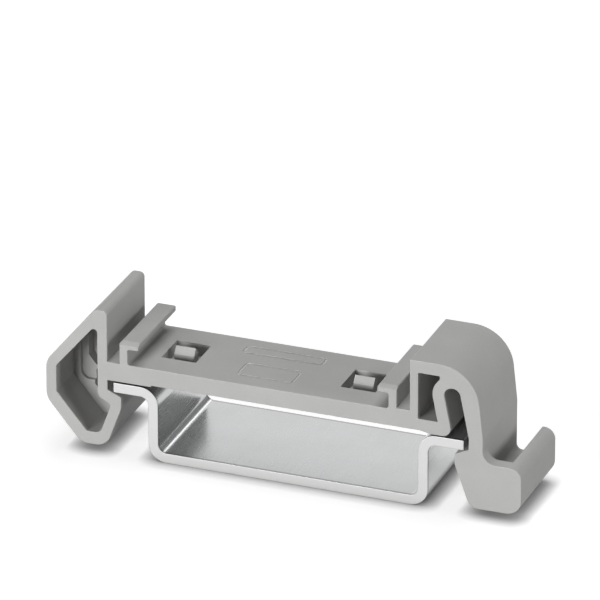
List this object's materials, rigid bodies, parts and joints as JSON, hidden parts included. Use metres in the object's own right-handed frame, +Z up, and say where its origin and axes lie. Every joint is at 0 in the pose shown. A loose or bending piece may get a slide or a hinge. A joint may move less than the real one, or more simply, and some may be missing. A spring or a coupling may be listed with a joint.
{
  "type": "din rail adapter",
  "caption": "Clip-on plastic adapter with a hollow hook, a flat deck with seat lips and a sprung latch foot, clipped over a short piece of top-hat rail.",
  "frame": {"origin": "middle of the rail section's underside, half-way along the rail", "axes": "+X across the rail from the fixed hook towards the latch foot, +Y along the rail away from the viewer, +Z up from the rail's underside towards the deck"},
  "size_m": [0.0475, 0.0126, 0.0149],
  "materials": {
    "adapter_plastic": "fine-grained matt grey polyamide moulding",
    "rail_steel": "bright zinc-plated sheet steel with a faint rolling grain"
  },
  "bodies": {
    "rail": {"rail_section": "rail_steel"},
    "adapter": {"adapter_body": "adapter_plastic"}
  },
  "joints": [
    {"name": "slide_along_rail", "type": "slide", "parent": "rail", "child": "adapter", "axis": [0, 1, 0], "range_m": [-0.0048, 0.0077]}
  ]
}
